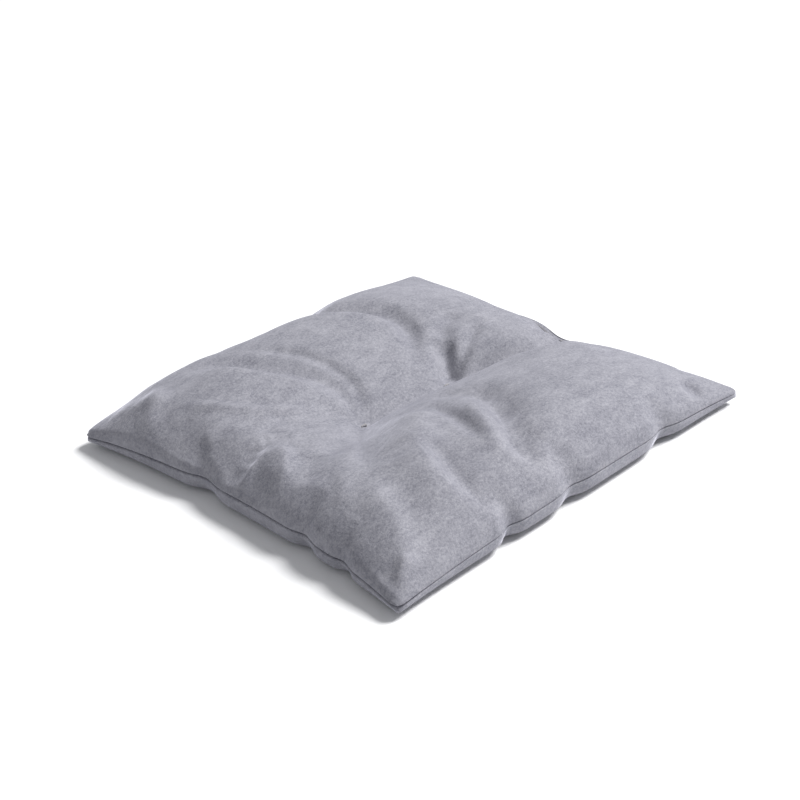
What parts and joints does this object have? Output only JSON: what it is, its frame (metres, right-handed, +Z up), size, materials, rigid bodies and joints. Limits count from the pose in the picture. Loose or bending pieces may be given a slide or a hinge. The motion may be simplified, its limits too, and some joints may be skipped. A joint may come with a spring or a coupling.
{
  "type": "kneeling pad",
  "caption": "Square plush kneeling cushion with a knife-edge seam, soft fibre fill and a tufted middle drawn in by two thread ties.",
  "frame": {"origin": "on the floor under the centre of the cushion", "axes": "+Z up through the cushion's thickness, X along the line of the two tufting ties, Y across it"},
  "size_m": [0.4, 0.4, 0.0616],
  "materials": {
    "velvet": "short grey pile",
    "fibre": "loose white polyester fibre",
    "thread": "spun grey polyester thread"
  },
  "bodies": {
    "root": {"cover_top": "velvet", "cover_bottom": "velvet", "fibre_fill": "fibre", "seam_needle_thread": "thread", "seam_bobbin_thread": "thread", "closing_stitch": "thread", "tuft_tie_left": "thread", "tuft_tie_right": "thread"}
  },
  "joints": []
}
